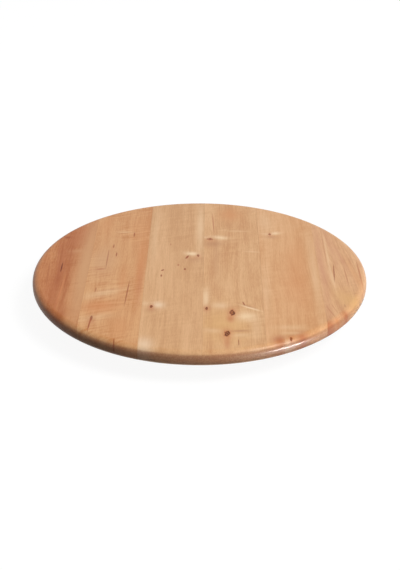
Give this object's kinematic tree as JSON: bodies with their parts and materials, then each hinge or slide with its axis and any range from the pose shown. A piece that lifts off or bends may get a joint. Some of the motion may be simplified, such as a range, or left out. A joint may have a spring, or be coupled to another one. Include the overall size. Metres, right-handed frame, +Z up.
{
  "type": "lazy susan turntable",
  "caption": "Round wooden lazy susan: an edge-glued serving board that spins on a pressed-steel ball-bearing swivel, over a smaller wooden base disc with rubber feet.",
  "frame": {"origin": "middle of the feet's sole plane, under the turning axis", "axes": "+Z up along the turning axis; the boards' grain runs along Y; the user stands on the -Y side, with +X to the right"},
  "size_m": [0.39, 0.39, 0.042],
  "materials": {
    "board_wood": "clear satin lacquer over pale brown wood",
    "base_wood": "clear satin lacquer over pale brown wood",
    "zinc_steel": "bright zinc plating",
    "ball_steel": "polished",
    "nylon": "natural moulded nylon",
    "rubber": "matt moulded rubber"
  },
  "bodies": {
    "base": {"base_stave_1": "base_wood", "base_stave_2": "base_wood", "base_stave_3": "base_wood", "base_stave_4": "base_wood", "lower_bearing_plate": "zinc_steel", "lower_plate_screw_1": "zinc_steel", "lower_plate_screw_2": "zinc_steel", "lower_plate_screw_3": "zinc_steel", "lower_plate_screw_4": "zinc_steel", "rubber_foot_1": "rubber", "rubber_foot_2": "rubber", "rubber_foot_3": "rubber", "rubber_foot_4": "rubber", "foot_washer_1": "zinc_steel", "foot_washer_2": "zinc_steel", "foot_washer_3": "zinc_steel", "foot_washer_4": "zinc_steel", "foot_screw_1": "zinc_steel", "foot_screw_2": "zinc_steel", "foot_screw_3": "zinc_steel", "foot_screw_4": "zinc_steel"},
    "cage": {"ball_cage": "nylon", "ball_1": "ball_steel", "ball_2": "ball_steel", "ball_3": "ball_steel", "ball_4": "ball_steel", "ball_5": "ball_steel", "ball_6": "ball_steel", "ball_7": "ball_steel", "ball_8": "ball_steel", "ball_9": "ball_steel", "ball_10": "ball_steel", "ball_11": "ball_steel", "ball_12": "ball_steel", "ball_13": "ball_steel", "ball_14": "ball_steel", "ball_15": "ball_steel", "ball_16": "ball_steel"},
    "turntable": {"board_stave_1": "board_wood", "board_stave_2": "board_wood", "board_stave_3": "board_wood", "board_stave_4": "board_wood", "board_stave_5": "board_wood", "board_stave_6": "board_wood", "upper_bearing_plate": "zinc_steel", "upper_plate_screw_1": "zinc_steel", "upper_plate_screw_2": "zinc_steel", "upper_plate_screw_3": "zinc_steel", "upper_plate_screw_4": "zinc_steel"}
  },
  "joints": [
    {"name": "turntable_spin", "type": "hinge", "parent": "base", "child": "turntable", "pos_m": [0, 0, 0.02], "axis": [0, 0, 1], "continuous": true},
    {"name": "cage_spin", "type": "hinge", "parent": "base", "child": "cage", "pos_m": [0, 0, 0.02], "axis": [0, 0, 1], "continuous": true}
  ],
  "couplings": [
    {"joint": "cage_spin", "follows": "turntable_spin", "ratio": 0.5}
  ]
}
